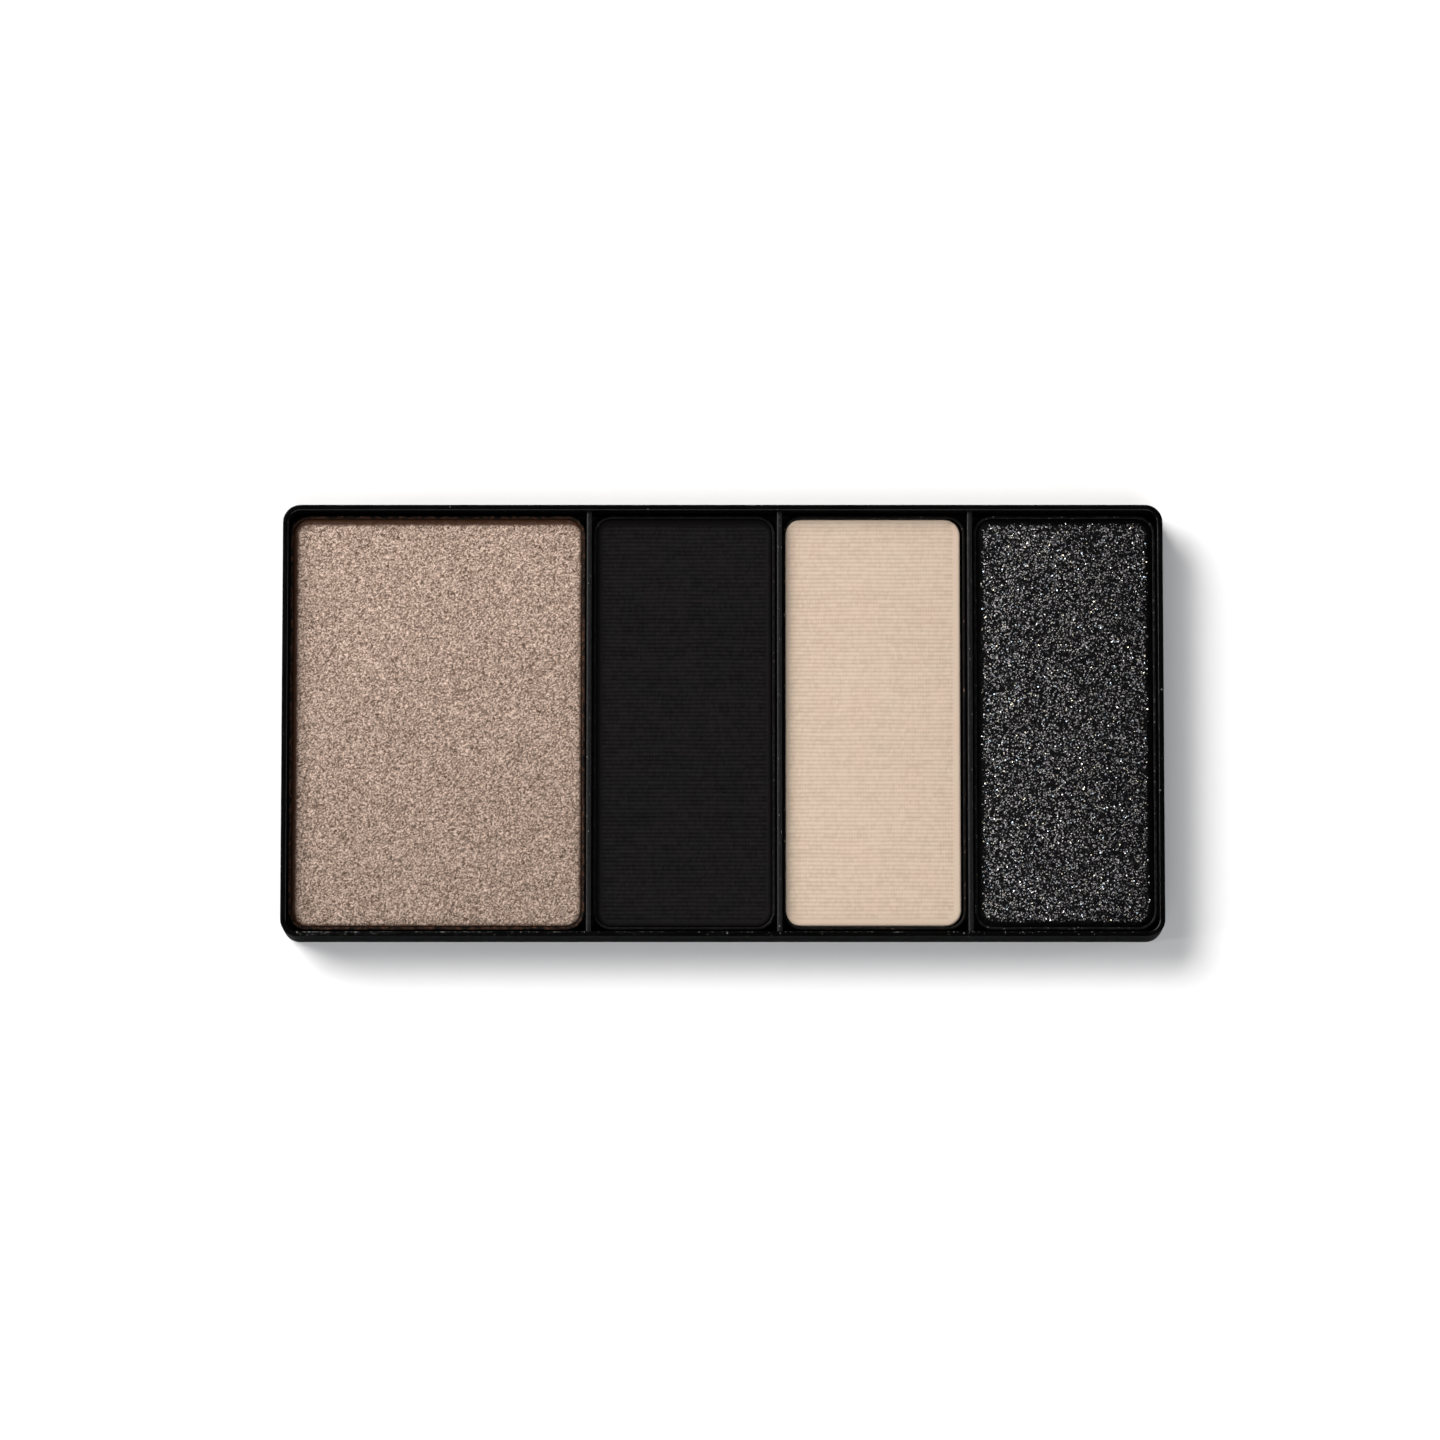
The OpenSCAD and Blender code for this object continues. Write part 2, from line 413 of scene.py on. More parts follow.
def tinLacquer(shade):
    dustColor, share, haze = tinLook["dust"][shade]
    made, tree, shader = newMaterial("tin lacquer " + shade, specular=tinLook["specular"])
    skin = placeGroup(tree, surfaceSkin, {"Size": 0.4, "Roughness": tinLook["roughness"], "Spread": 0.05})
    dust = placeGroup(tree, looseDust, {"Size": 0.16, "Share": share, "Haze": haze})["Mask"]
    nearRim = put(tree, "Attribute", attribute_name="edge").outputs["Fac"]
    shown = calc(tree, "MULTIPLY", dust, nearRim)
    dusty = mixColor(tree, shown, tinLook["color"], dustColor)
    dull = calc(tree, "MULTIPLY", shown, tinLook["dustRoughness"])
    rough = calc(tree, "ADD", skin["Roughness"], dull, clamp=True)
    feed(tree, shader, color=dusty, roughness=rough, normal=bump(tree, skin["Height"], tinLook["skinDepth"]))
    return made


# Colours of the two matte powders. "groove" is painted shade in the grooves of the cloth's print; "edge" is
# the colour of a cake's border, painted shade on the black cake and a painted highlight on the beige one
matteLook = {
    "beige": {
        "color": (0.585, 0.472, 0.37, 1), "patch": (0.595, 0.455, 0.362, 1), "edge": (0.6, 0.49, 0.39, 1),
        "groove": (0.335, 0.257, 0.196, 1), "grooveShare": 0.75, "contrast": 0.14, "edgeWidth": 0.12,
    },
    "black": {
        "color": (0.0135, 0.0112, 0.012, 1), "patch": (0.0108, 0.0114, 0.0113, 1),
        "edge": (0.004, 0.0034, 0.0035, 1), "groove": (0.0012, 0.001, 0.0011, 1),
        "grooveShare": 0.95, "contrast": 0.6, "edgeWidth": 0.35,
    },
}
# What the two matte powders share; a groove's painted shade is darkest beside a strong knot of the cloth
matteSurface = {
    "roughness": 0.95, "specular": 0.05, "grainDepth": 0.006, "knots": (0.2, 0.8), "deep": (0.6, 1.0),
}


def mattePowder(shade):
    look = matteLook[shade]
    made, tree, shader = newMaterial(
        shade + " powder", roughness=matteSurface["roughness"], specular=matteSurface["specular"])
    grain = placeGroup(tree, powderGrain, {
        "Color": look["color"], "Patch Color": look["patch"], "Patch Share": 0.8, "Patch Size": 2.6,
        "Grain Size": 0.07, "Contrast": look["contrast"]})
    # Painted shade: the grooves of the cloth's print are painted darker, most beside a strong knot; the
    # border takes the edge colour, painted shade on the black cake and a painted highlight on the beige
    groove = put(tree, "Attribute", attribute_name="grooveShade").outputs["Fac"]
    rim = put(tree, "Attribute", attribute_name="rim").outputs["Fac"]
    knot = put(tree, "Attribute", attribute_name="tone").outputs["Fac"]
    deep = calc(tree, "MULTIPLY", groove, remap(tree, knot, *matteSurface["knots"], *matteSurface["deep"]))
    dark = mixColor(tree, calc(tree, "MULTIPLY", deep, look["grooveShare"]), grain["Color"], look["groove"])
    color = mixColor(tree, remap(tree, rim, 0.0, look["edgeWidth"]), look["edge"], dark)
    normal = bump(tree, grain["Height"], matteSurface["grainDepth"])
    feed(tree, shader, color=withPaintedLight(tree, color), normal=normal)
    return made


pearlLook = {
    "color": (0.25, 0.15, 0.102, 1), "patch": (0.235, 0.16, 0.098, 1), "edge": (0.048, 0.019, 0.009, 1),
    "bright": (1.0, 0.762, 0.63, 1), "dark": (0.04, 0.018, 0.0075, 1),
    "roughness": 0.42, "specular": 0.2, "metal": 0.2,
    "edgeWidth": 0.26,
    "size": 0.1, "share": 0.92, "lean": 0.16,  # of the platelets
    "lit": (0.08, 0.88), "litPower": 2.2,  # which tones of platelet are bright, and how few
    # Painted light: "crest" picks the raised knots of the cloth to paint bright as highlights, "print" is how
    # much of that shows, and "groove" how much painted shade lies in the grooves
    "crest": (0.9, 0.1), "crestPower": 1.65,  # the same for the knots of the cloth
    "cover": 0.95,  # how much of the powder's own color the platelets hide
    "print": 0.36,
    "groove": 0.25,
}


def shimmerPowder():
    made, tree, shader = newMaterial(
        "champagne shimmer powder", roughness=pearlLook["roughness"], specular=pearlLook["specular"])
    grain = placeGroup(tree, powderGrain, {
        "Color": pearlLook["color"], "Patch Color": pearlLook["patch"], "Patch Share": 0.9, "Patch Size": 1.6,
        "Grain Size": 0.12, "Contrast": 0.5})
    pearls = placeGroup(tree, pearlPlatelets, {
        "Size": pearlLook["size"], "Share": pearlLook["share"], "Lean": pearlLook["lean"], "Scatter": 1.0})
    knot = put(tree, "Attribute", attribute_name="tone").outputs["Fac"]
    lit = calc(tree, "POWER", remap(tree, pearls["Tone"], *pearlLook["lit"]), pearlLook["litPower"])
    tone = mixColor(tree, lit, pearlLook["dark"], pearlLook["bright"])
    # Painted highlight on the raised knots of the cloth, and painted shade in its grooves below
    crest = calc(tree, "POWER", remap(tree, knot, *pearlLook["crest"]), pearlLook["crestPower"])
    knotHighlights = mixColor(tree, crest, pearlLook["dark"], pearlLook["bright"])
    fine = mixColor(tree, calc(tree, "MULTIPLY", pearls["Mask"], pearlLook["cover"]), grain["Color"], tone)
    mixed = mixColor(tree, pearlLook["print"], fine, knotHighlights)
    groove = put(tree, "Attribute", attribute_name="grooveShade").outputs["Fac"]
    rim = put(tree, "Attribute", attribute_name="rim").outputs["Fac"]
    grooveShaded = mixColor(tree, calc(tree, "MULTIPLY", groove, pearlLook["groove"]), mixed, pearlLook["dark"])
    insideDarkBorder = remap(tree, rim, 0.0, pearlLook["edgeWidth"])
    color = mixColor(tree, insideDarkBorder, pearlLook["edge"], grooveShaded)
    metal = calc(tree, "MULTIPLY", calc(tree, "MULTIPLY", pearls["Mask"], insideDarkBorder), pearlLook["metal"])
    feed(tree, shader, color=withPaintedLight(tree, color), metallic=metal, normal=pearls["Normal"])
    return made


glitterLook = {
    "color": (0.0035, 0.0035, 0.0038, 1), "patch": (0.0025, 0.0025, 0.003, 1),
    "edge": (0.002, 0.002, 0.002, 1), "bright": (1.0, 1.0, 0.97, 1), "dark": (0.0025, 0.0025, 0.003, 1),
    "roughness": 0.45, "specular": 0.02, "metal": 0.3,
    "size": 0.095, "lean": 0.3,
    "share": (0.34, 0.86), "strength": (0.55, 1.0),  # where the glitter is thin, and where it is dense
    "power": 3.9,  # the higher, the fewer bright platelets
    "hue": 0.12,
    "edgeWidth": 0.2, "edgeBlend": -0.1,
}


def glitterPowder():
    made, tree, shader = newMaterial(
        "black glitter powder", roughness=glitterLook["roughness"], specular=glitterLook["specular"])
    grain = placeGroup(tree, powderGrain, {
        "Color": glitterLook["color"], "Patch Color": glitterLook["patch"], "Patch Share": 0.8,
        "Patch Size": 2.0, "Grain Size": 0.1, "Contrast": 0.6})
    density = put(tree, "Attribute", attribute_name="density").outputs["Fac"]
    share = remap(tree, density, 0.0, 1.0, *glitterLook["share"])
    platelets = placeGroup(tree, pearlPlatelets, {
        "Size": glitterLook["size"], "Share": share, "Lean": glitterLook["lean"]})
    few = calc(tree, "POWER", platelets["Tone"], glitterLook["power"])
    strong = calc(tree, "MULTIPLY", few, remap(tree, density, 0.0, 1.0, *glitterLook["strength"]))
    tone = mixColor(tree, strong, glitterLook["dark"], glitterLook["bright"])
    hued = mixColor(tree, glitterLook["hue"], tone, platelets["Hue"], blend="MULTIPLY")
    # The glitter cake's border is painted dark, a painted shade on its falling edge, and no platelets show in
    # it
    rim = put(tree, "Attribute", attribute_name="rim").outputs["Fac"]
    edgeWidth = glitterLook["edgeWidth"]
    shown = calc(tree, "MULTIPLY", platelets["Mask"], remap(tree, rim, 0.0, edgeWidth))
    mixed = mixColor(tree, shown, grain["Color"], hued)
    insideDarkBorder = remap(tree, rim, glitterLook["edgeBlend"], edgeWidth)
    color = mixColor(tree, insideDarkBorder, glitterLook["edge"], mixed)
    metal = calc(tree, "MULTIPLY", shown, glitterLook["metal"])
    feed(tree, shader, color=withPaintedLight(tree, color), metallic=metal, normal=platelets["Normal"])
    return made


flakeLook = {"roughness": 0.42, "dull": (0.2, 0.2, 0.2, 1), "dullSpan": (0.3, 0.7), "dullShare": 0.3}


def silverFlake():
    made, tree, shader = newMaterial("silver flake", roughness=flakeLook["roughness"], metallic=1.0)
    tone = put(tree, "Attribute", attribute_name="tone").outputs["Color"]
    grain = put(tree, "TexNoise", {"Vector": millimetres(tree), "Scale": 12.0})
    share = remap(tree, grain.outputs["Fac"], *flakeLook["dullSpan"], 0.0, flakeLook["dullShare"])
    color = mixColor(tree, share, tone, flakeLook["dull"])
    feed(tree, shader, color=color)
    return made


crumbLook = {"color": (0.6, 0.58, 0.55, 1), "roughness": 0.9, "specular": 0.15}


def crumbPowder():
    made, tree, shader = newMaterial(
        "pale crumbs", roughness=crumbLook["roughness"], specular=crumbLook["specular"])
    grain = placeGroup(tree, powderGrain, {
        "Color": crumbLook["color"], "Patch Color": crumbLook["color"], "Patch Share": 0.0,
        "Grain Size": 0.03, "Contrast": 0.5})
    feed(tree, shader, color=grain["Color"])
    return made


nickelLook = {
    "plate": (0.36, 0.35, 0.33, 1), "worn": (0.22, 0.205, 0.185, 1), "roughness": 0.42, "skinDepth": 0.002,
}


def nickelPlate():
    made, tree, shader = newMaterial("nickel plate", metallic=1.0)
    skin = placeGroup(tree, surfaceSkin, {"Size": 0.3, "Roughness": nickelLook["roughness"], "Spread": 0.16})
    worn = placeGroup(tree, edgeWear, {"Size": 0.3, "Amount": 0.7})["Mask"]
    color = mixColor(tree, worn, nickelLook["plate"], nickelLook["worn"])
    normal = bump(tree, skin["Height"], nickelLook["skinDepth"])
    feed(tree, shader, color=color, roughness=skin["Roughness"], normal=normal)
    return made


glueLook = {
    "thin": (0.42, 0.28, 0.08, 1), "thick": (0.60, 0.45, 0.18, 1), "roughness": 0.28, "skinDepth": 0.01,
}


def curedGlue():
    made, tree, shader = newMaterial("cured glue", specular=0.5)
    skin = placeGroup(tree, surfaceSkin, {"Size": 0.25, "Roughness": glueLook["roughness"], "Spread": 0.1})
    tint = mixColor(tree, skin["Height"], glueLook["thin"], glueLook["thick"])
    normal = bump(tree, skin["Height"], glueLook["skinDepth"])
    feed(tree, shader, color=tint, roughness=skin["Roughness"], normal=normal)
    return made


labelLook = {
    "color": (0.028, 0.028, 0.03, 1), "roughness": 0.55, "skinDepth": 0.004,
    "ink": (0.30, 0.30, 0.30, 1), "inset": 1.6, "line": 0.22, "corner": 1.0,
}


def labelFilm():
    # A matte film with one printed frame line, drawn from the label's own size
    low, high = boxOf("base_label")
    made, tree, shader = newMaterial("label film", specular=0.4)
    skin = placeGroup(tree, surfaceSkin, {"Size": 0.12, "Roughness": labelLook["roughness"], "Spread": 0.05})
    middle = (low + high) / 2
    away = put(tree, "VectorMath", {0: millimetres(tree), 1: tuple(middle)}, operation="SUBTRACT")
    size = put(tree, "VectorMath", {0: away.outputs[0]}, operation="ABSOLUTE")
    split = put(tree, "SeparateXYZ", {0: size.outputs[0]})
    half = (high - low) / 2
    corner = labelLook["corner"]
    straight = half - Vector((1, 1, 0)) * (labelLook["inset"] + corner)
    squares = []
    for along in (0, 1):
        past = calc(tree, "SUBTRACT", split.outputs[along], straight[along])
        squares.append(calc(tree, "POWER", calc(tree, "MAXIMUM", past, 0.0), 2.0))
    reach = calc(tree, "SQRT", calc(tree, "ADD", *squares))
    onLine = calc(tree, "COMPARE", reach, corner, labelLook["line"] / 2)
    color = mixColor(tree, onLine, labelLook["color"], labelLook["ink"])
    normal = bump(tree, skin["Height"], labelLook["skinDepth"])
    feed(tree, shader, color=color, roughness=skin["Roughness"], normal=normal)
    return made


def tablePaper():
    made, tree, shader = newMaterial("table paper", roughness=0.9, specular=0.1)
    grain = put(tree, "TexNoise", {"Vector": millimetres(tree), "Scale": 0.4, "Detail": 5.0})
    shade = remap(tree, grain.outputs["Fac"], 0.3, 0.7, *table["drift"])
    tinted = put(tree, "VectorMath", {0: table["color"][:3], "Scale": shade}, operation="SCALE")
    feed(tree, shader, color=tinted.outputs[0])
    return made


sameLevel = 1e-4  # how closely points have to agree in height, in millimetres


def flat(bm, z):
    # Edges that lie in one level
    return [e for e in bm.edges if all(abs(v.co.z - z) < sameLevel for v in e.verts)]


def folded(edge, least=40):
    return len(edge.link_faces) == 2 and math.degrees(edge.calc_face_angle(0)) > least


def roundOff(bm, edges, width, segments=3, layer=None):
    made = bmesh.ops.bevel(bm, geom=edges, offset=width, offset_type="OFFSET", segments=segments,
                           profile=0.5, affect="EDGES", clamp_overlap=True, material=-1)
    if layer is not None:
        for face in made["faces"]:
            for vert in face.verts:
                vert[layer] = 1.0
    return made


def roundedBlock(low, high, radius, segments=10):
    bm = bmesh.new()
    size = high - low
    middle = (high + low) / 2
    bmesh.ops.create_cube(bm, size=1, matrix=Matrix.Translation(middle) @ Matrix.Diagonal((*size, 1)))
    upright = [e for e in bm.edges if abs(e.verts[0].co.z - e.verts[1].co.z) > size.z / 2]
    roundOff(bm, upright, radius, segments)
    return bm


def sink(bm, faces, depth):
    # Pushes faces down, which leaves walls round them
    pushed = bmesh.ops.extrude_face_region(bm, geom=faces)
    verts = [v for v in pushed["geom"] if isinstance(v, bmesh.types.BMVert)]
    bmesh.ops.delete(bm, geom=[f for f in faces if f.is_valid], context="FACES_ONLY")
    bmesh.ops.translate(bm, verts=verts, vec=(0, 0, -depth))
    return [f for f in pushed["geom"] if isinstance(f, bmesh.types.BMFace)]


def topFace(bm):
    return max(bm.faces, key=lambda f: (round(f.calc_center_median().z, 4), f.calc_area()))


def finishPiece(bm, name, body, nodes, material, sharp=35, weighted=True):
    bmesh.ops.scale(bm, vec=(1 / mm,) * 3, verts=bm.verts)
    mesh = bpy.data.meshes.new(name)
    bm.to_mesh(mesh)
    bm.free()
    mesh.materials.append(material)
    mesh.polygons.foreach_set("use_smooth", [True] * len(mesh.polygons))
    if sharp:
        mesh.set_sharp_from_angle(angle=math.radians(sharp))
    piece = bpy.data.objects.new(name, mesh)
    bpy.context.scene.collection.objects.link(piece)
    if weighted:
        even = piece.modifiers.new("even normals", "WEIGHTED_NORMAL")
        even.keep_sharp = True
    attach(piece, body)
    if nodes:
        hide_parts(*nodes)
    return piece


tray = {
    "wall": 0.5,
    "cornerRadius": 1.6,
    "ribDrop": 0.5,
    "ribLength": 5,  # an edge on a rib is at least this long
    "outerEdge": 0.03,
    "innerEdge": 0.08,
    "ribEdge": 0.14,
    "baseEdge": 0.3,
    "pocketRadius": 3.05,
    "holeRadius": 1.5,
    "holeInset": 6.0,  # from the back wall
    "flare": 0.12,
    "labelGap": 0.2,
    "labelCorner": 1.5,
    "labelRecess": 0.15,
    "past": 0.5,  # how far a cutter runs past the face that it opens
}


def bayEdges():
    # Where the ribs stand: half way between neighbouring pans
    edges = []
    for left, right in zip(shades, shades[1:]):
        leftHigh = boxOf("pan_" + left)[1].x
        rightLow = boxOf("pan_" + right)[0].x
        middle = (leftHigh + rightLow) / 2
        edges.append((middle - tray["wall"] / 2, middle + tray["wall"] / 2))
    return edges


def flaredCutter(radius, low, high, flare, center):
    # A round cutter that opens out where it breaks through the low and high faces
    bm = bmesh.new()
    made = bmesh.ops.create_circle(bm, segments=48, radius=radius + 2 * flare, cap_ends=True,
                                   matrix=Matrix.Translation((center[0], center[1], low - flare)))
    face = made["verts"][0].link_faces[0]
    for z, reach in ((low + flare, radius), (high - flare, radius), (high + flare, radius + 2 * flare)):
        up = bmesh.ops.extrude_face_region(bm, geom=[face])["geom"]
        verts = [v for v in up if isinstance(v, bmesh.types.BMVert)]
        if face.is_valid and face.calc_center_median().z > low:
            bmesh.ops.delete(bm, geom=[face], context="FACES_ONLY")
        face = next(f for f in up if isinstance(f, bmesh.types.BMFace))
        for vert in verts:
            away = Vector((vert.co.x - center[0], vert.co.y - center[1], 0)).normalized() * reach
            vert.co = Vector((center[0], center[1], z)) + away
    bmesh.ops.recalc_face_normals(bm, faces=bm.faces)
    return bm


def joinInto(target, extra):
    mesh = bpy.data.meshes.new("part")
    extra.to_mesh(mesh)
    extra.free()
    target.from_mesh(mesh)
    bpy.data.meshes.remove(mesh)


def carve(bm, cutter):
    # Takes the cutter's shape out of the mesh
    objects = []
    for name, source in (("body", bm), ("cutter", cutter)):
        mesh = bpy.data.meshes.new(name)
        source.to_mesh(mesh)
        source.free()
        made = bpy.data.objects.new(name, mesh)
        bpy.context.scene.collection.objects.link(made)
        objects.append(made)
    cut = objects[0].modifiers.new("cut", "BOOLEAN")
    cut.object = objects[1]
    cut.operation = "DIFFERENCE"
    cut.solver = "EXACT"
    view = bpy.context.evaluated_depsgraph_get()
    result = bmesh.new()
    result.from_mesh(objects[0].evaluated_get(view).to_mesh())
    for made in objects:
        mesh = made.data
        bpy.data.objects.remove(made)
        bpy.data.meshes.remove(mesh)
    return result


def trayCutters(low, high):
    # The push-out holes, the magnets' pockets and the label's recess
    cutters = bmesh.new()
    floorTop = boxOf("pan_shimmer")[0].z
    holeY = high.y - tray["wall"] - tray["holeInset"]
    for shade in shades:
        panLow, panHigh = boxOf("pan_" + shade)
        center = ((panLow.x + panHigh.x) / 2, holeY)
        joinInto(cutters, flaredCutter(tray["holeRadius"], low.z, floorTop, tray["flare"], center))
    glueBottom = boxOf("magnet_glue")[0].z
    for name in magnetNodes:
        magnetLow, magnetHigh = boxOf(name)
        middle = (magnetLow + magnetHigh) / 2
        joinInto(cutters, roundCutter(tray["pocketRadius"], glueBottom, floorTop + tray["past"], middle))
    labelLow, labelHigh = boxOf("base_label")
    grow = Vector((tray["labelGap"], tray["labelGap"], 0))
    recessLow = labelLow - grow - Vector((0, 0, tray["past"]))
    recessHigh = Vector((labelHigh.x + grow.x, labelHigh.y + grow.y, tray["labelRecess"]))
    joinInto(cutters, roundedBlock(recessLow, recessHigh, tray["labelCorner"]))
    return cutters


def roundCutter(radius, low, high, center):
    bm = bmesh.new()
    bmesh.ops.create_cone(bm, cap_ends=True, segments=64, radius1=radius, radius2=radius, depth=high - low,
                          matrix=Matrix.Translation((center.x, center.y, (low + high) / 2)))
    return bm


def makeTray(material):
    low, high = boxOf("tray")
    bm = roundedBlock(low, high, tray["cornerRadius"], segments=12)
    layer = bm.verts.layers.float.new("edge")
    mouth = topFace(bm)
    bmesh.ops.inset_region(bm, faces=[mouth], thickness=tray["wall"], use_even_offset=True)
    ribs = bayEdges()
    inner = [topFace(bm)]
    for pair in ribs:
        for x in pair:
            edges = dict.fromkeys(e for f in inner for e in f.edges)
            verts = dict.fromkeys(v for f in inner for v in f.verts)
            geom = [*inner, *edges, *verts]
            made = bmesh.ops.bisect_plane(bm, geom=geom, plane_co=(x, 0, 0), plane_no=(1, 0, 0))
            split = [g for g in made["geom"] if isinstance(g, bmesh.types.BMFace)]
            inner = list(dict.fromkeys(split + [f for f in inner if f.is_valid]))
    top = sink(bm, inner, tray["ribDrop"])
    floorTop = boxOf("pan_shimmer")[0].z
    ribTop = high.z - tray["ribDrop"]

    def isRib(face):
        x = face.calc_center_median().x
        return any(a < x < b for a, b in ribs)

    def roundLevel(z, width, test=lambda e: True):
        roundOff(bm, [e for e in flat(bm, z) if folded(e) and test(e)], width, 3, layer)

    for face in [f for f in top if not isRib(f)]:
        sink(bm, [face], ribTop - floorTop)
    roundLevel(high.z, tray["outerEdge"], lambda e: isOuter(e, high))
    roundLevel(high.z, tray["innerEdge"])
    roundLevel(ribTop, tray["ribEdge"], lambda e: abs(e.verts[0].co.y - e.verts[1].co.y) > tray["ribLength"])
    roundLevel(low.z, tray["baseEdge"])
    bm = carve(bm, trayCutters(low, high))
    return finishPiece(bm, "tray_moulding", "tray", ["tray"], material)


def isOuter(edge, high):
    # On the outer outline rather than the inner one, which is a wall's thickness further in
    inset = tray["wall"] / 2
    radius = tray["cornerRadius"]
    for vert in edge.verts:
        overX = max(abs(vert.co.x) - (high.x - radius), 0)
        overY = max(abs(vert.co.y) - (high.y - radius), 0)
        if max(math.hypot(overX, overY) - radius, abs(vert.co.x) - high.x, abs(vert.co.y) - high.y) < -inset:
            return False
    return True


pan = {
    "tin": 0.25,
    "cornerRadius": 1.7,
    "rimEdge": 0.055,
    "footEdge": 0.4,
    "insideEdge": 0.3,
    "dusted": 0.5,  # how far down from its rim a tin is dusted with powder
}


def makePan(shade, material):
    low, high = boxOf("pan_" + shade)
    bm = roundedBlock(low, high, pan["cornerRadius"], segments=12)
    layer = bm.verts.layers.float.new("edge")
    mouth = topFace(bm)
    bmesh.ops.inset_region(bm, faces=[mouth], thickness=pan["tin"], use_even_offset=True)
    sink(bm, [topFace(bm)], high.z - low.z - pan["tin"])
    roundOff(bm, [e for e in flat(bm, low.z + pan["tin"]) if folded(e)], pan["insideEdge"], 4)
    roundOff(bm, [e for e in flat(bm, low.z) if folded(e)], pan["footEdge"], 4)
    roundOff(bm, [e for e in flat(bm, high.z) if folded(e)], pan["rimEdge"], 3)
    for vert in bm.verts:
        vert[layer] = 1.0 if vert.co.z > high.z - pan["dusted"] else 0.0
    return finishPiece(bm, "tin_" + shade, "refill_" + shade, ["pan_" + shade], material)


# Sizes in millimetres. Ribs and threads are the cloth's, pressed into the powder. Lists of four
# are left, right, front, back: "spill" is how far a cake lies past the inside of its tin, "bare"
# how wide its smooth border is, and the last list how wide its dark border is, which is brown
# powder dust on the shimmer and painted shade on the black and glitter cakes. The one pair is
# painted light: how much paler a cake is painted towards its right and its back, darker where it
# is negative, as the light falls across it.
cakes = {
    "shimmer": {
        "ribPitch": 0.24, "threadPitch": 0.24, "perRib": 2, "perThread": 2,
        "relief": 0.014, "threadShare": 0.5, "knots": 0.8, "mix": (0.6, 0.25, 0.15), "speckle": 0.8,
        "paintedLight": (-0.02, 0.12), "shoulder": 0.4, "drop": 0.17, "ragged": 0.12, "rough": 0.004,
        "bare": (0.05, 0.05, 0.05, 0.05), "spill": (-0.02, -0.02, -0.02, -0.02),
        "dustAndShade": (0.34, 0.05, 0.05, 0.5),
    },
    "black": {
        "ribPitch": 0.37, "threadPitch": 0.25, "perRib": 4, "perThread": 3,
        "relief": 0.028, "threadShare": 0.42, "knots": 0.55, "mix": (0.5, 0.3, 0.2), "speckle": 0.2,
        "paintedLight": (0.0, 0.0), "shoulder": 0.8, "drop": 0.22, "ragged": 0.05, "rough": 0.002,
        "bare": (0.35, 0.35, 0.3, 0.35), "spill": (-0.02, -0.02, -0.02, -0.02),
        "dustAndShade": (0.28, 0.1, 0.05, 0.5),
    },
    "beige": {
        "ribPitch": 0.37, "threadPitch": 0.25, "perRib": 4, "perThread": 3,
        "relief": 0.022, "threadShare": 0.42, "knots": 0.5, "mix": (0.5, 0.3, 0.2), "speckle": 0.12,
        "paintedLight": (-0.025, 0.0), "shoulder": 0.18, "drop": 0.1, "ragged": 0.05, "rough": 0.001,
        "bare": (0.1, 0.5, 0.45, 0.1), "spill": (0.12, -0.23, -0.09, -0.1),
        "dustAndShade": (0.0, 0.0, 0.0, 0.04),
    },
    "glitter": {
        "ribPitch": 0.32, "threadPitch": 0.32, "perRib": 2, "perThread": 2,
        "relief": 0.0, "threadShare": 1.0, "knots": 0.0, "mix": (0.6, 0.3, 0.1), "speckle": 0.3,
        "paintedLight": (-0.2, 0.02), "shoulder": 0.6, "drop": 0.22, "ragged": 0.25, "rough": 0.014,
        "bare": (0.0, 0.0, 0.0, 0.0), "spill": (-0.02, -0.02, -0.02, -0.02),
        "dustAndShade": (0.56, 0.55, 0.4, 0.48),
    },
}
crown = 0.05  # how much higher the middle of a cake is than its shoulder's top
fadeIn = 0.3  # over how wide a strip the print and the grit of a cake fade in
chip = {
    "cake": "beige", "inFromRight": 0.75, "inFromBack": 0.3, "reach": 0.42, "depth": 0.12,
    "stretch": 1.6, "steep": 1.2, "grit": 0.15,
}
# What all four cakes share: how their cloth sways and streaks, how much painted groove shade a bare border
# gets, and how their borders wander
cloth = {"sway": 0.03, "streak": 5, "least": 0.25, "plain": 0.35}
border = {"middle": 0.5, "broad": (0.35, 5), "fine": (0.25, 13), "reach": 0.8, "dustAndShade": 0.6, "grit": 0.12}
thinning = {"slope": 0.5, "patches": 0.3, "rate": 1.5}  # of the glitter, from left to right
slowWaves = {"count": 5, "rate": 0.9, "start": 6.28, "share": 3}


def smoothStep(value):
    t = np.clip(value, 0.0, 1.0)
    return t * t * (3 - 2 * t)


def ripple(x, y, seed):
    # A slow wander made of a few sines, between about -1 and 1
    rng = np.random.default_rng(seed)
    total = np.zeros_like(x)
    for _ in range(slowWaves["count"]):
        alongX = rng.uniform(-slowWaves["rate"], slowWaves["rate"])
        alongY = rng.uniform(-slowWaves["rate"], slowWaves["rate"])
        start = rng.uniform(0, slowWaves["start"])
        total += np.sin(alongX * x + alongY * y + start)
    return total / slowWaves["share"]


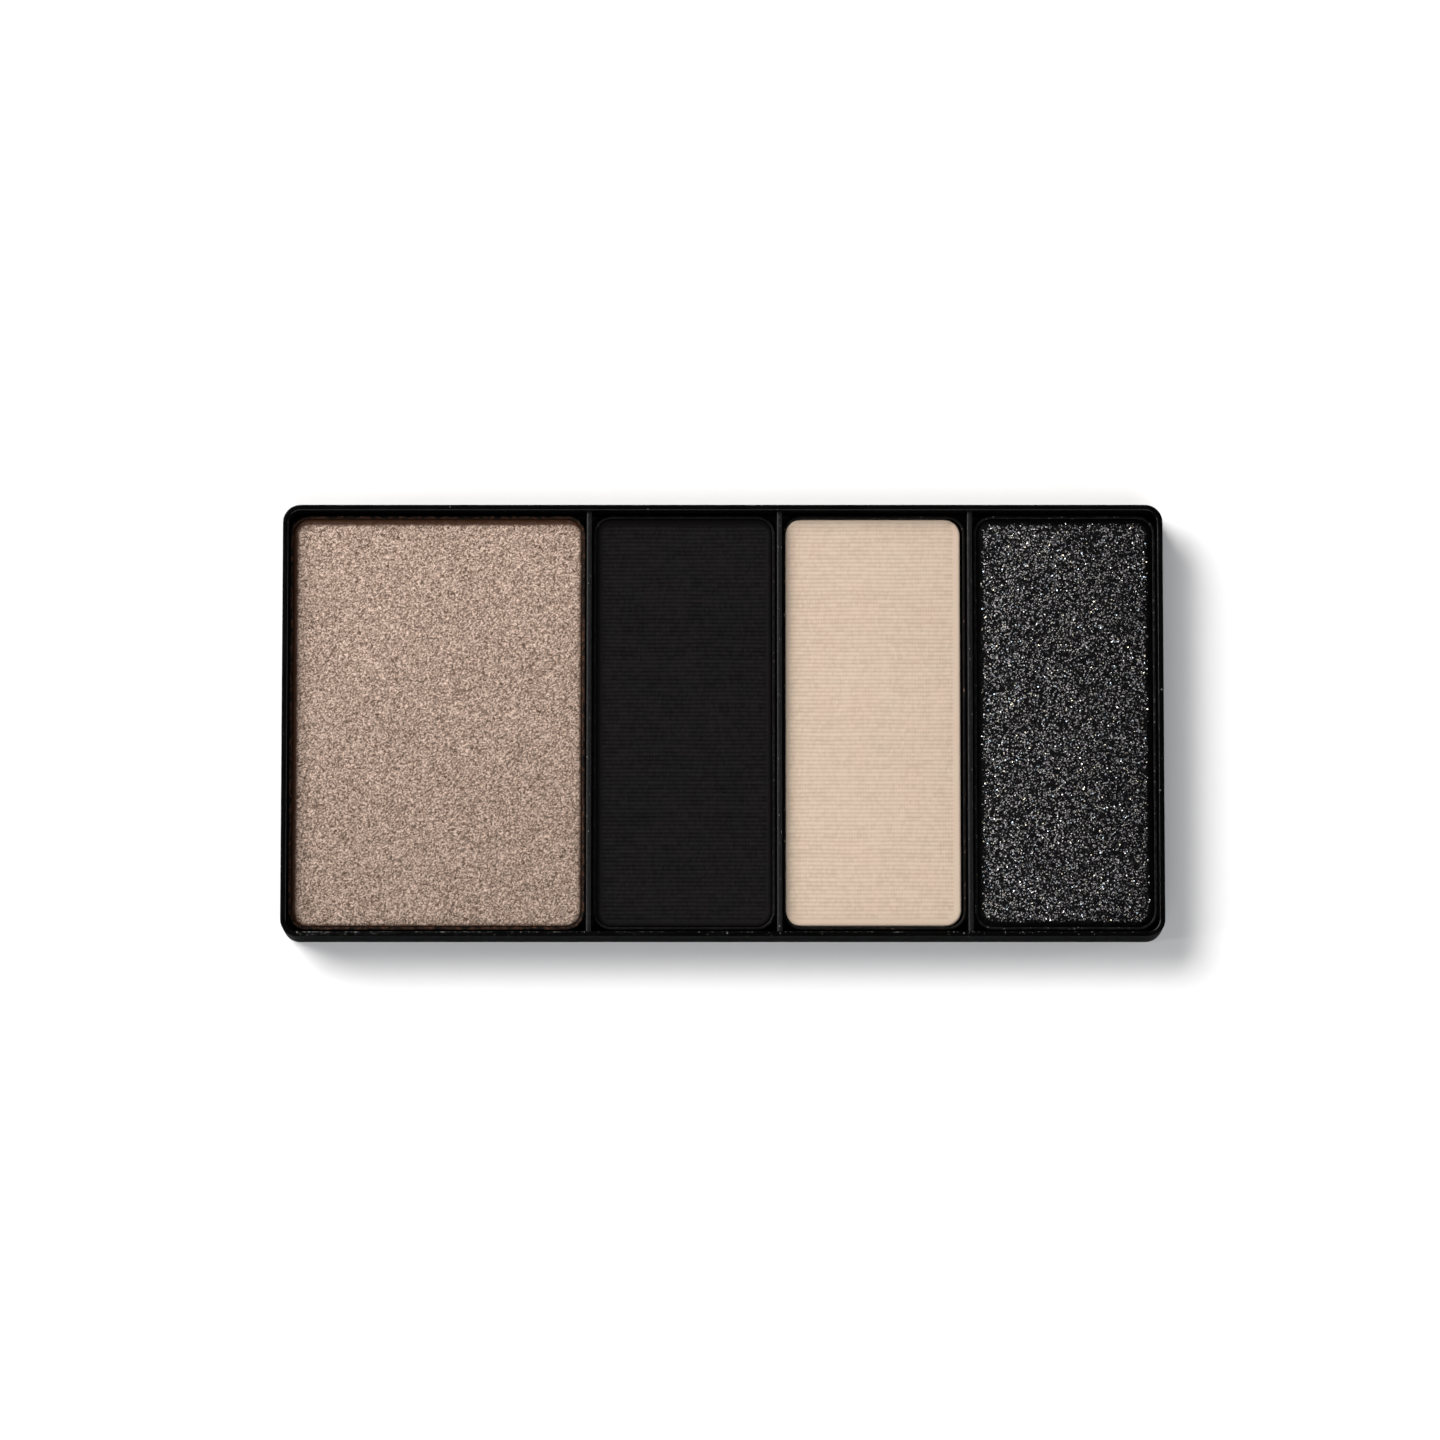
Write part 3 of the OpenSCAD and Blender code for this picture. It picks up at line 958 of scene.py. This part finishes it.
def clothPrint(x, y, cake, seed):
    # The print of the cloth: its height, 1 on a crest and 0 in a groove, and each knot's own strength
    rng = np.random.default_rng(seed)
    sway = cloth["sway"] * ripple(x, y, seed)
    ribs = (y + sway) / cake["ribPitch"]
    threads = (x + sway) / cake["threadPitch"]
    row = np.floor(ribs + 0.5).astype(int)
    column = np.floor(threads + 0.5 * (row % 2)).astype(int)
    row -= row.min()
    column -= column.min()
    knots = rng.random((row.max() + 1, column.max() + 1))[row, column]
    stretch = column // cloth["streak"]
    streaks = rng.random((row.max() + 1, stretch.max() + 1))[row, stretch]
    lines = rng.random(row.max() + 1)[row]
    knotShare, streakShare, lineShare = cake["mix"]
    strength = knotShare * knots + streakShare * streaks + lineShare * lines
    strength += cake["speckle"] * (rng.random(len(x)) - strength)
    rib = 0.5 + 0.5 * np.cos(2 * math.pi * ribs)
    thread = 0.5 + 0.5 * np.cos(2 * math.pi * threads)
    dented = 1 - cake["knots"] * np.maximum(strength - cloth["least"], 0)
    height = rib * (1 - cake["threadShare"] * (1 - thread)) * dented
    return height, strength


sideBlend = 0.05  # millimetres from a side at which another side starts to count


def sideShare(x, y, half, sides):
    # Blends four side values by which side is nearest
    near = [half.x + x, half.x - x, half.y + y, half.y - y]
    weights = [1 / (sideBlend + np.maximum(distance, 0)) ** 2 for distance in near]
    return sum(w * side for w, side in zip(weights, sides)) / sum(weights)


def insideBy(x, y, half, radius):
    # How far each point lies inside a cake's rounded outline
    overX = np.maximum(np.abs(x) - (half.x - radius), 0)
    overY = np.maximum(np.abs(y) - (half.y - radius), 0)
    side = np.minimum(half.x - np.abs(x), half.y - np.abs(y))
    return np.maximum(np.where((overX > 0) & (overY > 0), radius - np.hypot(overX, overY), side), 0)


def domed(x, y, half, turn, drop):
    # How far a cake's surface lies above its highest point: it bulges, and falls off at its shoulder
    bulge = crown * (1 - (x / half.x) ** 2) * (1 - (y / half.y) ** 2)
    return bulge - crown - drop * (1 - np.sqrt(1 - (1 - turn) ** 2))


def wanderingBorder(x, y, seed):
    # How ragged the border is from place to place, 0.5 on average
    wander = border["middle"]
    for offset, (share, rate) in ((2, border["broad"]), (4, border["fine"])):
        wander = wander + share * ripple(x * rate, y * rate, seed + offset)
    return wander


def makeCake(shade, material, seed):
    cake = cakes[shade]
    low, high = boxOf("powder_" + shade)
    left, right, front, back = cake["spill"]
    low = Vector((low.x - left, low.y - front, low.z))
    high = Vector((high.x + right, high.y + back, high.z))
    radius = pan["cornerRadius"] - pan["tin"]
    half = (high - low) / 2
    middle = (high + low) / 2
    columns = round(2 * half.x / cake["threadPitch"] * cake["perThread"])
    rows = round(2 * half.y / cake["ribPitch"] * cake["perRib"])
    bm = bmesh.new()
    layers = {name: bm.verts.layers.float.new(name) for name in ("grooveShade", "tone", "rim", "density", "paintedLight")}
    bmesh.ops.create_grid(bm, x_segments=columns, y_segments=rows, size=1)
    verts = list(bm.verts)
    place = np.array([v.co for v in verts])
    y = place[:, 1] * half.y
    overY = np.clip(np.abs(y) - (half.y - radius), 0, radius)
    reach = half.x - radius + np.sqrt(np.maximum(radius ** 2 - overY ** 2, 0))
    x = place[:, 0] * reach
    inward = insideBy(x, y, half, radius)
    rng = np.random.default_rng(seed)
    grit = rng.normal(size=len(verts))
    wander = wanderingBorder(x, y, seed)
    turn = np.clip((inward - cake["ragged"] * wander * (inward < border["reach"])) / cake["shoulder"], 0, 1)
    woven = smoothStep((inward - sideShare(x, y, half, cake["bare"])) / fadeIn)
    height, strength = clothPrint(x, y, cake, seed)
    z = high.z + domed(x, y, half, turn, cake["drop"])
    z += cake["relief"] * (height - 1) * woven
    z += cake["rough"] * grit * smoothStep(inward / fadeIn)
    if shade == chip["cake"]:
        away = np.hypot(x - half.x + chip["inFromRight"], (y - half.y + chip["inFromBack"]) * chip["stretch"])
        broken = chip["grit"] * grit * (away < chip["reach"])
        z -= chip["depth"] * smoothStep(chip["steep"] * (1 - away / chip["reach"]) + broken)
    # How wide the dark border is at each point: brown powder dust on the shimmer, painted shade on the black
    # and glitter cakes
    frayed = border["dustAndShade"] * (wander - border["middle"]) + border["grit"] * grit
    dustAndShade = sideShare(x, y, half, cake["dustAndShade"]) + cake["ragged"] * frayed
    patches = thinning["patches"] * ripple(x * thinning["rate"], y * thinning["rate"], seed + 3)
    density = 0.5 - thinning["slope"] * x / half.x + patches
    # Painted light: the cake is painted paler or darker towards its right and its back, as the light falls
    # across it
    paintedLight = 1 + cake["paintedLight"][0] * x / half.x + cake["paintedLight"][1] * y / half.y
    painted = {
        # Per point: the painted groove shade, the knots' strength, the distance inside the dark border, the
        # glitter's density and the painted light
        "grooveShade": (1 - height) * woven + cloth["plain"] * (1 - woven),
        "tone": 0.5 + (strength - 0.5) * woven,
        "rim": inward - dustAndShade,
        "density": density,
        "paintedLight": paintedLight,
    }
    for index, vert in enumerate(verts):
        vert.co = (x[index] + middle.x, y[index] + middle.y, z[index])
        for name, values in painted.items():
            vert[layers[name]] = values[index]
    outline = [e for e in bm.edges if e.is_boundary]
    skirt = bmesh.ops.extrude_edge_only(bm, edges=outline)["geom"]
    for vert in (g for g in skirt if isinstance(g, bmesh.types.BMVert)):
        vert.co.z = low.z
    bmesh.ops.holes_fill(bm, edges=[e for e in bm.edges if e.is_boundary], sides=0)
    bmesh.ops.recalc_face_normals(bm, faces=bm.faces)
    node = "powder_" + shade
    piece = finishPiece(bm, "powder_cake_" + shade, "refill_" + shade, [node], material,
                        sharp=0, weighted=False)
    print(piece.name, len(piece.data.polygons), "faces")
    return piece


flakes = {
    "count": 4200, "size": (0.035, 0.075), "thick": 0.01, "lean": 24,
    "proud": 0.02,  # above the surface of the cake, at the most
    "leftward": 1.3,  # 1 spreads them evenly
    "border": 0.45,  # no flake lies nearer to the side
    "lot": 130,  # joined at a time, which is quicker
    "tints": [(0.7, 0.7, 0.69), (0.45, 0.45, 0.45), (0.7, 0.64, 0.5), (0.45, 0.55, 0.65), (0.25, 0.25, 0.26)],
}


def makeFlakes(material):
    # Platelets that lie on the glitter cake, more of them towards its left
    rng = random.Random(seeds["flakes"])
    low, high = boxOf("powder_glitter")
    half = (high - low) / 2
    middle = (high + low) / 2
    cake = cakes["glitter"]
    whole = bmesh.new()
    lot = bmesh.new()
    tints = []
    while len(tints) < flakes["count"]:
        x = half.x * (2 * rng.random() ** flakes["leftward"] - 1)
        y = half.y * rng.uniform(-1, 1)
        inward = float(insideBy(x, y, half, pan["cornerRadius"] - pan["tin"]))
        if inward < flakes["border"]:
            continue
        turn = min((inward - cake["ragged"] / 2) / cake["shoulder"], 1)
        level = high.z + float(domed(x, y, half, turn, cake["drop"])) + flakes["proud"] * rng.random()
        size = rng.uniform(*flakes["size"])
        lean = Matrix.Rotation(math.radians(rng.gauss(0, flakes["lean"])), 4, "X")
        lean = lean @ Matrix.Rotation(math.radians(rng.gauss(0, flakes["lean"])), 4, "Y")
        spin = Matrix.Rotation(rng.uniform(0, math.pi), 4, "Z")
        spot = Matrix.Translation((x + middle.x, y + middle.y, level))
        bmesh.ops.create_cone(lot, cap_ends=True, segments=6, radius1=size, radius2=size,
                              depth=flakes["thick"], matrix=spot @ lean @ spin)
        tints.append(rng.choice(flakes["tints"]))
        if len(tints) % flakes["lot"] == 0 or len(tints) == flakes["count"]:
            joinInto(whole, lot)
            lot = bmesh.new()
    lot.free()
    piece = finishPiece(whole, "loose_flakes_glitter", "refill_glitter", [], material,
                        sharp=20, weighted=False)
    tone = piece.data.color_attributes.new("tone", "FLOAT_COLOR", "POINT")
    corners = len(piece.data.vertices) // len(tints)
    for index in range(len(piece.data.vertices)):
        tone.data[index].color = (*tints[index // corners], 1)
    return piece


# Each lot of crumbs: how many, how small and large, and how far from the ends of its wall or rib
crumbs = {
    "rimFront": {"count": 520, "size": (0.018, 0.038), "ends": 1.5},
    "rimRight": {"count": 70, "size": (0.014, 0.03), "ends": 2},
    "ribs": {"count": 45, "size": (0.014, 0.034), "ends": 1},
}
# Most lie along the inner edge of the rim, and the front ones crowd towards the left
crumbRest = {"edge": 0.06, "strayed": 0.3, "sunk": 0.015, "leftward": 2.2, "ribMargin": 0.05}
crumbShape = {"length": (0.7, 1.5), "width": (0.6, 1.1), "height": 0.6}


def crumbSpot(name, rng):
    low, high = boxOf("tray")
    ends = crumbs[name]["ends"]
    inside = tray["wall"] - crumbRest["edge"]
    rimLevel = high.z - crumbRest["sunk"]
    if name == "rimFront":
        x = low.x + ends + (high.x - low.x - 2 * ends) * rng.random() ** crumbRest["leftward"]
        return Vector((x, low.y + inside - crumbRest["strayed"] * rng.random() ** 3, rimLevel))
    if name == "rimRight":
        x = high.x - inside + crumbRest["strayed"] * rng.random() ** 3
        return Vector((x, rng.uniform(low.y + ends, high.y - ends), rimLevel))
    left, right = rng.choice(bayEdges())
    x = rng.uniform(left + crumbRest["ribMargin"], right - crumbRest["ribMargin"])
    return Vector((x, rng.uniform(low.y + ends, high.y - ends), high.z - tray["ribDrop"]))


def makeCrumbs(name, material, seed):
    lot = crumbs[name]
    rng = random.Random(seed)
    bm = bmesh.new()
    for _ in range(lot["count"]):
        size = rng.uniform(*lot["size"])
        length = rng.uniform(*crumbShape["length"])
        width = rng.uniform(*crumbShape["width"])
        shape = Matrix.Diagonal((length, width, crumbShape["height"], 1))
        turn = Matrix.Rotation(rng.uniform(0, math.pi), 4, "Z")
        spot = Matrix.Translation(crumbSpot(name, rng))
        bmesh.ops.create_icosphere(bm, subdivisions=1, radius=size, matrix=spot @ turn @ shape)
    return finishPiece(bm, "crumbs_" + name, "tray", [], material, sharp=0, weighted=False)


magnet = {"chamfer": 0.09}


def makeMagnet(name, material):
    low, high = boxOf(name)
    middle = (low + high) / 2
    bm = bmesh.new()
    layer = bm.verts.layers.float.new("edge")
    radius = (high.x - low.x) / 2
    bmesh.ops.create_cone(bm, cap_ends=True, segments=64, radius1=radius, radius2=radius,
                          depth=high.z - low.z, matrix=Matrix.Translation(middle))
    roundOff(bm, [e for e in bm.edges if folded(e)], magnet["chamfer"], 2, layer)
    return finishPiece(bm, name.replace("magnet_", "disc_magnet_"), "tray", [name], material)


glue = {"swell": 0.015, "lobes": 3, "uneven": 0.4, "segments": 48}


def makeGlue(material):
    low, high = boxOf("magnet_glue")
    rng = random.Random(seeds["glue"])
    whole = bmesh.new()
    for name in magnetNodes:
        magnetLow, magnetHigh = boxOf(name)
        middle = (magnetLow + magnetHigh) / 2
        radius = (magnetHigh.x - magnetLow.x) / 2
        bm = bmesh.new()
        made = bmesh.ops.create_circle(bm, segments=glue["segments"], radius=radius, cap_ends=True,
                                       matrix=Matrix.Translation((middle.x, middle.y, low.z)))
        for index, vert in enumerate(made["verts"]):
            angle = 2 * math.pi * index / glue["segments"]
            swell = glue["swell"] * math.sin(glue["lobes"] * angle + rng.uniform(0, glue["uneven"]))
            away = Vector((vert.co.x - middle.x, vert.co.y - middle.y, 0)).normalized()
            vert.co += away * swell
        face = made["verts"][0].link_faces[0]
        up = bmesh.ops.extrude_face_region(bm, geom=[face])["geom"]
        raised = [v for v in up if isinstance(v, bmesh.types.BMVert)]
        bmesh.ops.translate(bm, verts=raised, vec=(0, 0, high.z - low.z))
        bmesh.ops.recalc_face_normals(bm, faces=bm.faces)
        joinInto(whole, bm)
    return finishPiece(whole, "glue_spots", "tray", ["magnet_glue"], material)


label = {"corner": 1.3, "edge": 0.03}


def makeLabel(material):
    low, high = boxOf("base_label")
    bm = roundedBlock(low, high, label["corner"], segments=8)
    roundOff(bm, [e for e in flat(bm, low.z) if folded(e)], label["edge"], 2)
    return finishPiece(bm, "base_film", "tray", ["base_label"], material)


def makeTable():
    low, high = boxOf("tray")
    bm = bmesh.new()
    bmesh.ops.create_grid(bm, x_segments=1, y_segments=1, size=table["size"] / 2 * mm,
                          matrix=Matrix.Translation((0, 0, low.z - table["drop"])))
    bmesh.ops.scale(bm, vec=(1 / mm,) * 3, verts=bm.verts)
    mesh = bpy.data.meshes.new("table")
    bm.to_mesh(mesh)
    bm.free()
    mesh.materials.append(tablePaper())
    made = bpy.data.objects.new("table", mesh)
    bpy.context.scene.collection.objects.link(made)


makeCamera()
makeLights()
makeRoom()
makeTable()
bpy.context.scene.view_settings.view_transform = "Standard"
print("camera, lights and table made")

makeTray(trayPlastic())
print("tray made")
powderLooks = {
    "shimmer": shimmerPowder,
    "black": lambda: mattePowder("black"),
    "beige": lambda: mattePowder("beige"),
    "glitter": glitterPowder,
}
for number, shade in enumerate(shades):
    makePan(shade, tinLacquer(shade))
    makeCake(shade, powderLooks[shade](), seed=seeds["cakes"] + number)
makeFlakes(silverFlake())
print("refills made")
paleCrumbs = crumbPowder()
for number, name in enumerate(crumbs):
    makeCrumbs(name, paleCrumbs, seed=seeds["crumbs"] + number)
print("flakes and crumbs made")
nickel = nickelPlate()
for name in magnetNodes:
    makeMagnet(name, nickel)
makeGlue(curedGlue())
makeLabel(labelFilm())
print("magnets, glue and label made")
